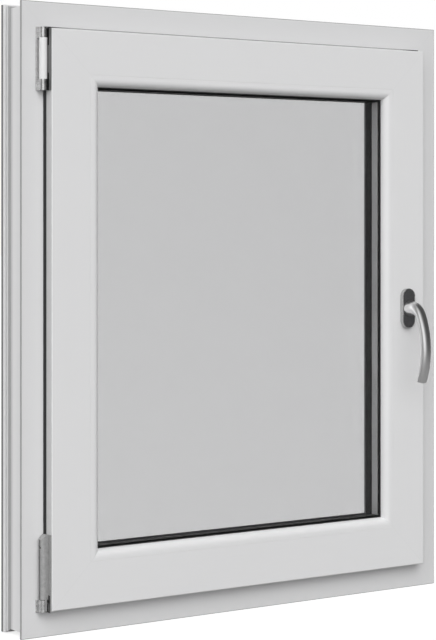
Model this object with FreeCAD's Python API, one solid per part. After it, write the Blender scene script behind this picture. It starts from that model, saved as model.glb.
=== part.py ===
import FreeCAD, Part
import math
import os
from FreeCAD import Vector

# Tilt and turn window in white PVC-U: an outer frame, a sash with glazing beads, a sealed
# triple glass unit, surface hinges on the left and a lever handle on the right.
#
# Sections are drawn in two numbers. "inset" is the distance inwards from the outer edge of
# the frame, the same on all four sides. "depth" is the distance behind the frame's room
# face, so what stands proud of that face has a negative depth.
#
# The part's own frame has +X to the right seen from the room, +Y to the outside and +Z up.
# Its origin is on the flat underside of the sill, in the middle of its width and depth.

# Frame
frame_width = 850.0
frame_height = 1000.0
frame_depth = 70.0
frame_rebate_inset = 50.0
frame_stop_inset = 70.0
frame_stop_thickness = 18.0
frame_stop_slope = 4.0
drain_channel_drop = 4.0
drain_channel_width = 12.0
drain_channel_slope = 4.0
frame_seat_inset = 8.0
flange_tip = 4.0
seat_front_depth = 14.0
frame_wall = 2.8
frame_web = 1.5
back_lip_inset = 2.0
back_lip_thickness = 12.5
seat_groove_width = 8.5
seat_groove_depth = 3.0
seat_groove_edge = 2.0
front_round = 1.5
back_round = 2.5
stop_round = 2.0
small_round = 0.5
flange_curve = 12.0

# Sash
sash_overlap_inset = 42.7
sash_proud = 21.4
sash_stop_gap = 3.4
sash_round = 2.0
overlap_gap = 4.1
hardware_gap = 12.0
bead_inset = 114.0
glazing_leg_inset = 132.0
glazing_leg_thickness = 8.6
glazing_leg_setback = 1.0
glazing_leg_slope = 3.5
overlap_chamber_depth = 16.0
outer_chamber_depth = 6.0
hardware_groove_width = 16.0
hardware_groove_depth = 6.0
sash_wall = 2.8

# Glass unit and its seals
pane_thickness = 4.0
glass_proud = 7.0
outer_seal_thickness = 3.0
glass_inset = 121.5
spacer_sight_inset = 135.5
bead_flat = 5.6
bead_clearance = 2.0
bead_wall = 2.0
seal_lip = 1.3
seal_cover = 2.0
seal_slant = 0.4
seal_tip = 0.5
overlap_seal_reach = 3.7
overlap_seal_root = 4.6
overlap_seal_bulge = 0.8
stop_seal_reach = 1.0
fit_gap = 0.2

# Hinge side: one upright axis for the stay bearing above and the corner hinge below
hinge_axis_inset = 35.0
hinge_axis_proud = 7.5
hinge_plate_inset = 25.5
hinge_plate_width = 12.5
hinge_plate_thickness = 2.5
hinge_pin_radius = 3.0
pin_clearance = 0.1
knuckle_radius = 6.65
hinge_overrun = 1.9
stay_lower_knuckle = 17.6
stay_sleeve_height = 65.1
stay_upper_knuckle = 16.8
sleeve_wall = 2.1
stay_arm_rise = 28.2
stay_arm_height = 42.4
stay_arm_wall = 1.6
stay_arm_foot = 3.0
stay_arm_reach = 16.0
stay_arm_room = 1.0
stay_guard_thickness = 0.8
stay_guard_front = 15.2
stay_guard_back = 9.5
pivot_rest_height = 19.5
corner_seam = 1.0
corner_height = 121.7
corner_bevel = 8.0
corner_wall = 2.2
corner_lip = 0.9
corner_pin_stop = 12.0
adjuster_drop = 20.0
adjuster_radius = 3.2
adjuster_depth = 3.4
corner_leg_left = 0.8
corner_leg_width = 4.0
corner_leg_depth = 3.3
corner_tab_width = 5.4
corner_tab_height = 11.0
corner_slot = 2.2

# Handle
handle_inset = 83.0
handle_height = 500.0
rosette_width = 28.0
rosette_height = 70.0
rosette_thickness = 7.6
rosette_rim = 1.6
rosette_cover = 1.5
neck_radius = 11.5
neck_edge = 1.6
spigot_radius = 8.5
turn_gap = 0.3
spindle_side = 7.0
spindle_bore_radius = 6.0
spindle_length = 30.0
spindle_grip = 1.0
grip_radius = 140.0
grip_apex_proud = 74.8
grip_apex_drop = 72.0
grip_top_rise = 3.0
grip_end_drop = 127.5
grip_width = 20.6
grip_thickness = 12.0
grip_crown = 0.95
grip_shoulder = 3.6
grip_bevel = 1.2
grip_bevel_half = 3.5
grip_side_half = 1.3
grip_end_edge = 0.9

# Drainage on the outside of the sill
drain_inset = 26.0
drain_spacing = 520.0
drain_cap_width = 42.0
drain_cap_height = 14.0
drain_cap_thickness = 2.4
drain_cap_wall = 1.2
drain_cap_round = 1.4
drain_slot_width = 28.0
drain_slot_height = 6.0

room = -sash_proud
glass_front = -glass_proud
stop_front = frame_depth - frame_stop_thickness
back_lip_depth = frame_depth - back_lip_thickness
seat_back_depth = back_lip_depth - seat_groove_width
sash_back = stop_front - sash_stop_gap
glazing_leg_depth = sash_back - glazing_leg_thickness
glass_back = glazing_leg_depth - outer_seal_thickness
pane_gap = (glass_back - glass_front - 3.0 * pane_thickness) / 2.0
sash_rebate_inset = frame_rebate_inset + hardware_gap
origin_shift = Vector(-frame_width / 2.0, -frame_depth / 2.0, -frame_seat_inset)
mitre_margin = 30.0
overshoot = 1.0


def side_point(side, inset, depth, run):
    """Point of a section on one side; run goes along the side from its left or lower end."""
    if side == "sill":
        return Vector(run, depth, inset)
    if side == "head":
        return Vector(run, depth, frame_height - inset)
    if side == "hinge":
        return Vector(inset, depth, run)
    return Vector(frame_width - inset, depth, run)


def side_length(side):
    """Length of one side between the frame's outer corners."""
    return frame_width if side in ("sill", "head") else frame_height


def rounded_wire(side, corners, run):
    """Closed outline in (inset, depth); a third number rounds that corner to its radius."""
    edges = []
    ends = []
    count = len(corners)
    for index, corner in enumerate(corners):
        here = side_point(side, corner[0], corner[1], run)
        if len(corner) == 2:
            ends.append((here, here, None))
            continue
        before = side_point(side, *corners[index - 1][:2], run)
        after = side_point(side, *corners[(index + 1) % count][:2], run)
        back = (before - here).normalize()
        ahead = (after - here).normalize()
        half_angle = back.getAngle(ahead) / 2.0
        reach = corner[2] / math.tan(half_angle)
        middle = (back + ahead).normalize()
        bulge = corner[2] / math.sin(half_angle) - corner[2]
        ends.append((here + back * reach, here + ahead * reach, here + middle * bulge))
    for index in range(count):
        start, end, bulge = ends[index]
        if bulge is not None:
            edges.append(Part.Arc(start, bulge, end).toShape())
        following = ends[(index + 1) % count][0]
        if (following - end).Length > 1e-6:
            edges.append(Part.LineSegment(end, following).toShape())
    return Part.Wire(edges)


def mitre_prism(side, inner):
    """Space of one side between its two corner mitres, from outside the frame to inner."""
    length = side_length(side)
    outer = -mitre_margin
    front = -mitre_margin * 3.0
    points = [
        side_point(side, outer, front, outer),
        side_point(side, outer, front, length - outer),
        side_point(side, inner, front, length - inner),
        side_point(side, inner, front, inner),
    ]
    trapezoid = Part.Face(Part.makePolygon(points + points[:1]))
    return trapezoid.extrude(Vector(0, frame_depth - 2.0 * front, 0))


def mitred_member(side, outline, chambers=()):
    """One side of a ring: its section with open chambers, run along the side and mitred."""
    wires = [rounded_wire(side, corners, -mitre_margin) for corners in [outline, *chambers]]
    face = Part.makeFace(wires, "Part::FaceMakerBullseye")
    length = side_length(side) + 2.0 * mitre_margin
    start = side_point(side, 0, 0, 0)
    bar = face.extrude((side_point(side, 0, 0, 1) - start) * length)
    inner = max(corner[0] for corner in outline) + mitre_margin
    return bar.common(mitre_prism(side, inner)).Solids[0]


def mitred_ring(outline):
    """All four sides of a ring as one solid, as a seal or spacer bent round its corners."""
    sides = [mitred_member(side, outline) for side in ("sill", "head", "hinge", "lock")]
    return sides[0].fuse(sides[1:]).removeSplitter()


def box(x_range, depth_range, z_range):
    """Block between two values each way."""
    low = Vector(x_range[0], depth_range[0], z_range[0])
    size = (x_range[1] - x_range[0], depth_range[1] - depth_range[0], z_range[1] - z_range[0])
    return Part.makeBox(*size, low)


def upright_cylinder(radius, x, depth, bottom, height):
    """Round post standing at one point of the plan."""
    return Part.makeCylinder(radius, height, Vector(x, depth, bottom), Vector(0, 0, 1))


def outward_cylinder(radius, x, z, front, back):
    """Round bar running straight into the window, from its front depth to its back depth."""
    return Part.makeCylinder(radius, back - front, Vector(x, front, z), Vector(0, 1, 0))


def frame_outline():
    """Outer frame: flared flange on the room side, flat seat, rib and lip at the back."""
    drain_inner = frame_rebate_inset - drain_channel_drop
    drain_front = stop_front - drain_channel_width
    groove_floor = frame_seat_inset - seat_groove_depth
    return [
        (0, 0, small_round),
        (frame_rebate_inset, 0, front_round),
        (frame_rebate_inset, drain_front - drain_channel_slope),
        (drain_inner, drain_front),
        (drain_inner, stop_front),
        (frame_stop_inset, stop_front, small_round),
        (frame_stop_inset - frame_stop_slope, frame_depth, stop_round),
        (back_lip_inset, frame_depth, back_round),
        (back_lip_inset, back_lip_depth, small_round),
        (frame_seat_inset, back_lip_depth),
        (frame_seat_inset, back_lip_depth - seat_groove_edge),
        (groove_floor, back_lip_depth - seat_groove_edge, small_round),
        (groove_floor, seat_back_depth + seat_groove_edge, small_round),
        (frame_seat_inset, seat_back_depth),
        (frame_seat_inset, seat_front_depth, flange_curve),
        (0, flange_tip, small_round),
    ]


def frame_chambers():
    """Four chambers between the room side and the outside; the second takes the steel."""
    low = frame_seat_inset + frame_wall
    high = frame_rebate_inset - frame_wall
    drop = high - drain_channel_drop
    first = seat_front_depth
    last = stop_front - frame_wall
    slope_end = stop_front - drain_channel_width - frame_web
    slope_start = slope_end - drain_channel_slope
    stop_top = frame_stop_inset - frame_stop_slope
    return [
        [(low, frame_wall), (high, frame_wall), (high, first), (low, first)],
        [
            (low, first + frame_web),
            (high, first + frame_web),
            (high, slope_start),
            (drop, slope_end),
            (low, slope_end),
        ],
        [
            (low, slope_end + frame_web),
            (drop, slope_end + frame_web),
            (drop, last),
            (low, last),
        ],
        [
            (low, last + frame_web),
            (drop, last + frame_web),
            (drop, stop_front + frame_wall),
            (stop_top, stop_front + frame_wall),
            (stop_top - frame_wall, frame_depth - frame_wall),
            (back_lip_inset + frame_wall, frame_depth - frame_wall),
            (back_lip_inset + frame_wall, back_lip_depth + frame_wall),
            (low, back_lip_depth + frame_wall),
        ],
    ]


def sash_outline():
    """Sash: overlap on the room side, hardware groove in its edge, glazing leg outside."""
    groove_middle = (sash_back - overlap_gap) / 2.0
    groove_low = groove_middle - hardware_groove_width / 2.0
    groove_high = groove_middle + hardware_groove_width / 2.0
    groove_floor = sash_rebate_inset + hardware_groove_depth
    leg_tip = glazing_leg_inset - glazing_leg_setback
    return [
        (sash_overlap_inset, room, sash_round),
        (bead_inset, room, small_round),
        (bead_inset, glazing_leg_depth),
        (leg_tip, glazing_leg_depth, small_round),
        (leg_tip - glazing_leg_slope, sash_back, stop_round),
        (sash_rebate_inset, sash_back, small_round),
        (sash_rebate_inset, groove_high),
        (groove_floor, groove_high),
        (groove_floor, groove_low),
        (sash_rebate_inset, groove_low),
        (sash_rebate_inset, -overlap_gap),
        (sash_overlap_inset, -overlap_gap, small_round),
    ]


def sash_chambers():
    """Overlap chamber, steel chamber and outer chamber of the sash section."""
    low = sash_rebate_inset + hardware_groove_depth + sash_wall
    high = bead_inset - sash_wall
    split = room + overlap_chamber_depth
    outer = glazing_leg_depth - outer_chamber_depth
    return [
        [
            (sash_overlap_inset + sash_wall, room + sash_wall),
            (high, room + sash_wall),
            (high, split),
            (sash_rebate_inset + sash_wall, split),
            (sash_rebate_inset + sash_wall, -overlap_gap - sash_wall),
            (sash_overlap_inset + sash_wall, -overlap_gap - sash_wall),
        ],
        [
            (low, split + frame_web),
            (high, split + frame_web),
            (high, outer),
            (low, outer),
        ],
        [
            (sash_rebate_inset + sash_wall, outer + frame_web),
            (high, outer + frame_web),
            (high, sash_back - sash_wall),
            (sash_rebate_inset + sash_wall, sash_back - sash_wall),
        ],
    ]


def bead_outline():
    """Glazing bead: flush with the sash, then rounded down to the glass."""
    return [
        (bead_inset, room, small_round),
        (glazing_leg_inset, room, bead_round()),
        (glazing_leg_inset, glass_front - bead_clearance),
        (bead_inset + bead_flat, glass_front - bead_clearance),
        (bead_inset + bead_flat, glass_front + pane_thickness),
        (bead_inset, glass_front + pane_thickness),
    ]


def bead_round():
    """Radius of the bead's shoulder, which starts after its flat."""
    return glazing_leg_inset - bead_inset - bead_flat


def bead_chamber():
    """Hollow of the bead, its walls all alike."""
    inner_front = room + bead_wall
    inner_back = glass_front - bead_clearance - bead_wall
    inner_low = bead_inset + bead_wall
    inner_high = glazing_leg_inset - bead_wall
    radius = min(bead_round() - bead_wall, inner_back - inner_front - small_round)
    return [
        (inner_low, inner_front),
        (inner_high, inner_front, radius),
        (inner_high, inner_back),
        (inner_low, inner_back),
    ]


def bead_seal_outline():
    """Soft black lip that the bead presses on the room pane."""
    start = bead_inset + bead_flat + seal_cover
    tip = glazing_leg_inset + seal_lip
    return [
        (start, glass_front - bead_clearance),
        (glazing_leg_inset, glass_front - bead_clearance),
        (tip, glass_front - bead_clearance / 2.0, seal_tip),
        (tip - seal_slant, glass_front),
        (start, glass_front),
    ]


def outer_seal_outline():
    """Black seal between the glazing leg and the outer pane."""
    start = glass_inset + seal_cover
    root = glazing_leg_inset - glazing_leg_setback - small_round
    return [
        (start, glass_back),
        (glazing_leg_inset, glass_back),
        (glazing_leg_inset + seal_slant, (glass_back + glazing_leg_depth) / 2.0, seal_tip),
        (root, glazing_leg_depth),
        (start, glazing_leg_depth),
    ]


def overlap_seal_outline():
    """Black seal under the sash overlap; its lip shows as a line beside the sash."""
    lip = sash_overlap_inset - overlap_seal_reach
    root = sash_overlap_inset + overlap_seal_root
    return [
        (root, -overlap_gap),
        (root, 0),
        (lip + overlap_seal_bulge, 0, seal_slant),
        (lip, -overlap_seal_bulge - seal_slant, seal_slant),
        (sash_overlap_inset + overlap_seal_bulge, -overlap_gap),
    ]


def stop_seal_outline():
    """Black seal on the frame's stop, which the closed sash leans on from the room side."""
    root = sash_rebate_inset + seal_cover
    return [
        (root, sash_back),
        (frame_stop_inset + seal_slant, sash_back),
        (frame_stop_inset + stop_seal_reach, (sash_back + stop_front) / 2.0, seal_tip),
        (frame_stop_inset - seal_lip, stop_front),
        (root, stop_front),
    ]


def pane(front):
    """One sheet of the glass unit."""
    return box(
        (glass_inset, frame_width - glass_inset),
        (front, front + pane_thickness),
        (glass_inset, frame_height - glass_inset),
    )


def spacer(front):
    """Spacer bar and edge seal between two panes."""
    back = front + pane_gap
    outline = [
        (glass_inset, front),
        (spacer_sight_inset, front),
        (spacer_sight_inset, back),
        (glass_inset, back),
    ]
    return mitred_ring(outline)


def drain_slot(x):
    """Slot through the outside wall of the sill that lets the frame drain."""
    radius = drain_slot_height / 2.0
    half = drain_slot_width / 2.0 - radius
    front = frame_depth - frame_wall - overshoot
    back = frame_depth + overshoot
    slot = box((x - half, x + half), (front, back), (drain_inset - radius, drain_inset + radius))
    left = outward_cylinder(radius, x - half, drain_inset, front, back)
    right = outward_cylinder(radius, x + half, drain_inset, front, back)
    return slot.fuse([left, right]).removeSplitter()


def drain_cap(x):
    """Hood over a drain slot, open underneath, its other edges rounded off."""
    half = drain_cap_width / 2.0
    bottom = drain_inset - drain_cap_height / 2.0
    top = drain_inset + drain_cap_height / 2.0
    outer = frame_depth + drain_cap_thickness
    hood = box((x - half, x + half), (frame_depth, outer), (bottom, top))
    rounded = [edge for edge in hood.Edges if edge.BoundBox.YMin > frame_depth]
    rounded = [edge for edge in rounded if edge.BoundBox.ZMax > bottom + overshoot]
    hood = hood.makeFillet(drain_cap_round, rounded)
    inner = half - drain_cap_wall
    depths = (frame_depth, outer - drain_cap_wall)
    return hood.cut(box((x - inner, x + inner), depths, (bottom, top - drain_cap_wall)))


def hinge_post(radius, bottom, height):
    """Round post on the hinge axis."""
    return upright_cylinder(radius, hinge_axis_inset, -hinge_axis_proud, bottom, height)


def hinge_bore(bottom, height):
    """Room for a hinge pin on the hinge axis."""
    return hinge_post(hinge_pin_radius + pin_clearance, bottom, height)


def hinge_plate(bottom, height):
    """Flat foot of a hinge on the frame's face."""
    right = hinge_plate_inset + hinge_plate_width
    return box((hinge_plate_inset, right), (-hinge_plate_thickness, 0), (bottom, bottom + height))


def knuckle(bottom, height):
    """Round eye on the hinge axis, its back grown down to the frame's face."""
    eye = hinge_post(knuckle_radius, bottom, height)
    back = box(
        (hinge_axis_inset - knuckle_radius, hinge_plate_inset + hinge_plate_width),
        (-hinge_axis_proud, 0),
        (bottom, bottom + height),
    )
    return eye.fuse(back)


def stay_levels():
    """Heights on the upper hinge: its foot, the sleeve's two ends and its top."""
    top = frame_height - sash_overlap_inset + hinge_overrun
    sleeve_top = top - stay_upper_knuckle
    sleeve_bottom = sleeve_top - stay_sleeve_height
    return sleeve_bottom - stay_lower_knuckle, sleeve_bottom, sleeve_top, top


def stay_bearing():
    """Upper hinge on the frame: foot plate with one knuckle above and one below the sleeve."""
    bottom, sleeve_bottom, sleeve_top, top = stay_levels()
    body = hinge_plate(bottom, top - bottom)
    between = box(
        (hinge_axis_inset - knuckle_radius, frame_width),
        (-hinge_plate_thickness, 0),
        (sleeve_bottom, sleeve_top),
    )
    body = body.cut(between)
    body = body.fuse(knuckle(bottom, stay_lower_knuckle))
    body = body.fuse(knuckle(sleeve_top, stay_upper_knuckle))
    bore = hinge_bore(bottom - overshoot, top - bottom + 2.0 * overshoot)
    return body.cut(bore).removeSplitter()


def stay_pin():
    """Pin dropped through the upper hinge from above."""
    bottom, _, _, top = stay_levels()
    return hinge_post(hinge_pin_radius, bottom, top - bottom)


def stay_sleeve():
    """White plastic sleeve on the eye of the stay arm."""
    bottom = stay_levels()[1]
    sleeve = hinge_post(knuckle_radius, bottom, stay_sleeve_height)
    eye_room = hinge_post(stay_eye_radius() + pin_clearance, bottom, stay_sleeve_height)
    return sleeve.cut([eye_room, stay_tongue(pin_clearance), stay_arm_side(pin_clearance)])


def stay_eye_radius():
    """Eye of the stay arm, which the sleeve goes over."""
    return knuckle_radius - sleeve_wall


def stay_tongue(clearance):
    """Flat of the arm that leaves its eye towards the sash, grown all round by a clearance."""
    bottom = stay_levels()[0] + stay_arm_rise
    half = stay_arm_wall + clearance
    return box(
        (hinge_axis_inset, sash_overlap_inset - fit_gap),
        (-hinge_axis_proud - half, -hinge_axis_proud + half),
        (bottom - clearance, bottom + stay_arm_height + clearance),
    )


def stay_foot_depth():
    """Back of the arm's foot, in the middle of the gap behind the sash overlap."""
    return -(overlap_gap - stay_arm_foot) / 2.0


def stay_arm_side(clearance):
    """Plate of the arm along the edge of the sash overlap, grown all round by a clearance."""
    bottom = stay_levels()[0] + stay_arm_rise
    right = sash_overlap_inset - fit_gap
    return box(
        (right - stay_arm_wall - clearance, right + clearance),
        (room + corner_lip - clearance, stay_foot_depth() + clearance),
        (bottom - clearance, bottom + stay_arm_height + clearance),
    )


def stay_arm_rail():
    """Narrow front part of the arm's plate, which runs the whole height of the upper hinge."""
    right = sash_overlap_inset - fit_gap
    return box(
        (right - stay_arm_wall, right),
        (room + corner_lip, -stay_guard_front - fit_gap),
        (stay_levels()[0], frame_height - sash_overlap_inset),
    )


def stay_arm():
    """Arm that carries the top of the sash: an eye round the pin, a plate along the edge of
    the sash overlap and a foot that goes in behind the overlap."""
    _, sleeve_bottom, _, _ = stay_levels()
    bottom = stay_levels()[0] + stay_arm_rise
    right = sash_overlap_inset - fit_gap
    arm = hinge_post(stay_eye_radius(), sleeve_bottom, stay_sleeve_height)
    foot = box(
        (right - stay_arm_wall, right + stay_arm_reach),
        (stay_foot_depth() - stay_arm_foot, stay_foot_depth()),
        (bottom, bottom + stay_arm_height),
    )
    arm = arm.fuse([stay_tongue(0), stay_arm_side(0), stay_arm_rail(), foot])
    bore = hinge_bore(sleeve_bottom - overshoot, stay_sleeve_height + 2.0 * overshoot)
    return arm.cut(bore).removeSplitter()


def stay_arm_passage():
    """Gap in the seal under the overlap where the stay arm's foot goes through."""
    bottom = stay_levels()[0] + stay_arm_rise
    return box(
        (0, sash_overlap_inset + stay_arm_reach),
        (-overlap_gap, 0),
        (bottom - stay_arm_room, bottom + stay_arm_height + stay_arm_room),
    )


def stay_guard(bottom, top):
    """Black strip on the edge of the sash overlap, beside the upper hinge."""
    right = sash_overlap_inset - fit_gap
    return box(
        (right - stay_guard_thickness, right),
        (-stay_guard_front, -stay_guard_back),
        (bottom, top),
    )


def stay_guard_upper():
    """Guard strip above the stay arm, up to the sash's upper edge."""
    arm_top = stay_levels()[0] + stay_arm_rise + stay_arm_height
    return stay_guard(arm_top + fit_gap, frame_height - sash_overlap_inset)


def stay_guard_lower():
    """Guard strip below the stay arm, down to the foot of the stay bearing."""
    bottom = stay_levels()[0]
    return stay_guard(bottom, bottom + stay_arm_rise - fit_gap)


def corner_bottom():
    """Height of the lower hinge's foot, just past the sash's lower edge."""
    return sash_overlap_inset - hinge_overrun


def corner_leg(clearance):
    """Leg of the corner hinge that reaches down in front of the pivot rest, grown all round
    by a clearance."""
    left = hinge_axis_inset - corner_leg_left
    front = -hinge_axis_proud - knuckle_radius
    bottom = corner_bottom() + corner_wall
    return box(
        (left - clearance, left + corner_leg_width + clearance),
        (front - clearance, front + corner_leg_depth + clearance),
        (bottom - clearance, corner_bottom() + pivot_rest_height + corner_seam + clearance),
    )


def pivot_rest():
    """Lower hinge on the frame: foot plate and the round block that carries the corner hinge,
    cut away for its leg."""
    bottom = corner_bottom()
    body = hinge_plate(bottom, pivot_rest_height).fuse(knuckle(bottom, pivot_rest_height))
    bore = hinge_bore(bottom + pivot_rest_height / 2.0, pivot_rest_height)
    return body.cut([bore, corner_leg(fit_gap)]).removeSplitter()


def corner_pin():
    """Short pin between the pivot rest and the corner hinge."""
    bottom = corner_bottom() + pivot_rest_height / 2.0
    top = corner_bottom() + corner_height - corner_pin_stop
    return hinge_post(hinge_pin_radius, bottom, top - bottom)


def corner_hinge():
    """Lower hinge on the sash: tube on the axis, leaf across its front and a plate along the
    edge of the overlap, with a tab between slots beside the pivot rest."""
    foot = corner_bottom()
    bottom = foot + pivot_rest_height + corner_seam
    top = foot + corner_height
    right = sash_overlap_inset - fit_gap
    leaf_front = -hinge_axis_proud - knuckle_radius
    tube = hinge_post(knuckle_radius, bottom, top - bottom)
    leaf = box((hinge_axis_inset, right), (leaf_front, leaf_front + corner_wall), (bottom, top))
    plate = box((right - corner_wall, right), (room + corner_lip, -overlap_gap), (foot, top))
    middle = (room - overlap_gap) / 2.0
    tab_half = corner_tab_width / 2.0
    window_half = tab_half + corner_slot
    tab_bottom = foot + corner_wall
    tab_top = tab_bottom + corner_tab_height
    across = (right - corner_wall - overshoot, right + overshoot)
    tab = box(across, (middle - tab_half, middle + tab_half), (tab_bottom, tab_top))
    window = box(
        across,
        (middle - window_half, middle + window_half),
        (tab_bottom, tab_top + corner_slot),
    )
    rest_room = hinge_post(knuckle_radius + fit_gap, foot, pivot_rest_height + corner_seam)
    body = tube.fuse([leaf, plate.cut([window.cut(tab), rest_room]), corner_leg(0)])
    body = body.cut(hinge_bore(bottom - overshoot, top - corner_pin_stop - bottom + overshoot))
    left = hinge_axis_inset - knuckle_radius - overshoot
    slope = [
        Vector(left, leaf_front - overshoot, top - corner_bevel),
        Vector(hinge_axis_inset + knuckle_radius / 2.0, leaf_front - overshoot, top + overshoot),
        Vector(left, leaf_front - overshoot, top + overshoot),
    ]
    bevel = Part.Face(Part.makePolygon(slope + slope[:1])).extrude(Vector(0, frame_depth, 0))
    socket = Part.makeCylinder(
        adjuster_radius,
        adjuster_depth + overshoot,
        Vector(left, -hinge_axis_proud, top - adjuster_drop),
        Vector(1, 0, 0),
    )
    return body.cut([bevel, socket]).removeSplitter()


def oval(width, height, front, back):
    """Upright oval disc with straight flanks, centred on the handle's axis."""
    x = frame_width - handle_inset
    radius = width / 2.0
    straight = height / 2.0 - radius
    heights = (handle_height - straight, handle_height + straight)
    middle = box((x - radius, x + radius), (front, back), heights)
    upper = outward_cylinder(radius, x, handle_height + straight, front, back)
    lower = outward_cylinder(radius, x, handle_height - straight, front, back)
    return middle.fuse([upper, lower]).removeSplitter()


def rosette_bore(front, back):
    """Round way through the rosette for the handle's spigot."""
    x = frame_width - handle_inset
    return outward_cylinder(spigot_radius + turn_gap, x, handle_height, front, back)


def handle_rosette():
    """Oval base screwed to the sash, its front sunk for the cover."""
    front = room - rosette_thickness
    base = oval(rosette_width, rosette_height, front, room)
    outer_edges = [edge for edge in base.Edges if edge.BoundBox.YMax < room - rosette_cover]
    base = base.makeChamfer(rosette_rim / 2.0, outer_edges)
    inner_width = rosette_width - 2.0 * rosette_rim
    inner_height = rosette_height - 2.0 * rosette_rim
    pocket = oval(inner_width, inner_height, front - overshoot, front + rosette_cover)
    return base.cut(pocket).cut(rosette_bore(front - overshoot, room + overshoot))


def handle_rosette_cover():
    """Dark cover that lies in the rosette's rim."""
    front = room - rosette_thickness
    width = rosette_width - 2.0 * (rosette_rim + pin_clearance)
    height = rosette_height - 2.0 * (rosette_rim + pin_clearance)
    cover = oval(width, height, front, front + rosette_cover)
    return cover.cut(rosette_bore(front - overshoot, room + overshoot))


def bow_centre():
    """Middle of the large radius that the grip is bowed on, its axis level across the handle."""
    x = frame_width - handle_inset
    return Vector(x, grip_radius - grip_apex_proud, handle_height - grip_apex_drop)


def grip_outline():
    """Section across the grip where it stands furthest out: two crowned faces, each with two
    bevels down to a narrow side."""
    centre = bow_centre() - Vector(0, grip_radius, 0)
    crown = Vector(0, grip_thickness / 2.0, 0)
    half = grip_width / 2.0
    corner = [
        (half - grip_shoulder, grip_thickness / 2.0 - grip_crown),
        (half - grip_bevel, grip_bevel_half),
        (half, grip_side_half),
    ]
    side = corner + [(x, -out) for x, out in reversed(corner)]
    right = [centre + Vector(x, out, 0) for x, out in side]
    left = [centre + Vector(-x, -out, 0) for x, out in side]
    edges = Part.makePolygon(right).Edges
    edges.append(Part.Arc(right[-1], centre - crown, left[0]).toShape())
    edges.extend(Part.makePolygon(left).Edges)
    edges.append(Part.Arc(left[-1], centre + crown, right[0]).toShape())
    return Part.Face(Part.Wire(edges))


def handle_grip():
    """Grip bowed on one large radius, from its root on the neck down to its cut end."""
    root_angle = math.degrees(math.asin((grip_apex_drop + grip_top_rise) / grip_radius))
    end_angle = math.degrees(math.asin((grip_end_drop - grip_apex_drop) / grip_radius))
    across = Vector(1, 0, 0)
    grip = grip_outline().revolve(bow_centre(), across, root_angle + end_angle)
    grip.rotate(bow_centre(), across, -root_angle)
    flat_faces = [face for face in grip.Faces if face.Surface.TypeId == "Part::GeomPlane"]
    end_face = min(flat_faces, key=lambda face: face.CenterOfMass.z)
    return grip.makeChamfer(grip_end_edge, end_face.Edges)


def handle_neck():
    """Round neck that stands out of the rosette and ends in the bow of the grip."""
    x = frame_width - handle_inset
    back = room - rosette_thickness - turn_gap
    bow = Part.makeCylinder(
        grip_radius + grip_thickness / 2.0,
        2.0 * rosette_width,
        bow_centre() - Vector(rosette_width, 0, 0),
        Vector(1, 0, 0),
    )
    neck = outward_cylinder(neck_radius, x, handle_height, -grip_apex_proud, back).common(bow)
    front_edges = [edge for edge in neck.Edges if edge.BoundBox.YMax < back - turn_gap]
    front_edges = [edge for edge in front_edges if edge.BoundBox.XLength > neck_edge]
    neck = neck.makeChamfer(neck_edge, front_edges)
    spigot = outward_cylinder(spigot_radius, x, handle_height, back - turn_gap, room - spindle_grip)
    return neck.fuse(spigot)


def handle_lever():
    """Neck and grip in one casting."""
    return handle_neck().fuse(handle_grip()).Solids[0]


def handle_spindle():
    """Square bar that takes the handle's turn into the sash."""
    x = frame_width - handle_inset
    half = spindle_side / 2.0
    front = room - spindle_grip
    heights = (handle_height - half, handle_height + half)
    return box((x - half, x + half), (front, front + spindle_length), heights)


def spindle_bore():
    """Round way through the lock stile for the spindle."""
    x = frame_width - handle_inset
    back = room + spindle_length + overshoot
    return outward_cylinder(spindle_bore_radius, x, handle_height, room - overshoot, back)


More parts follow.
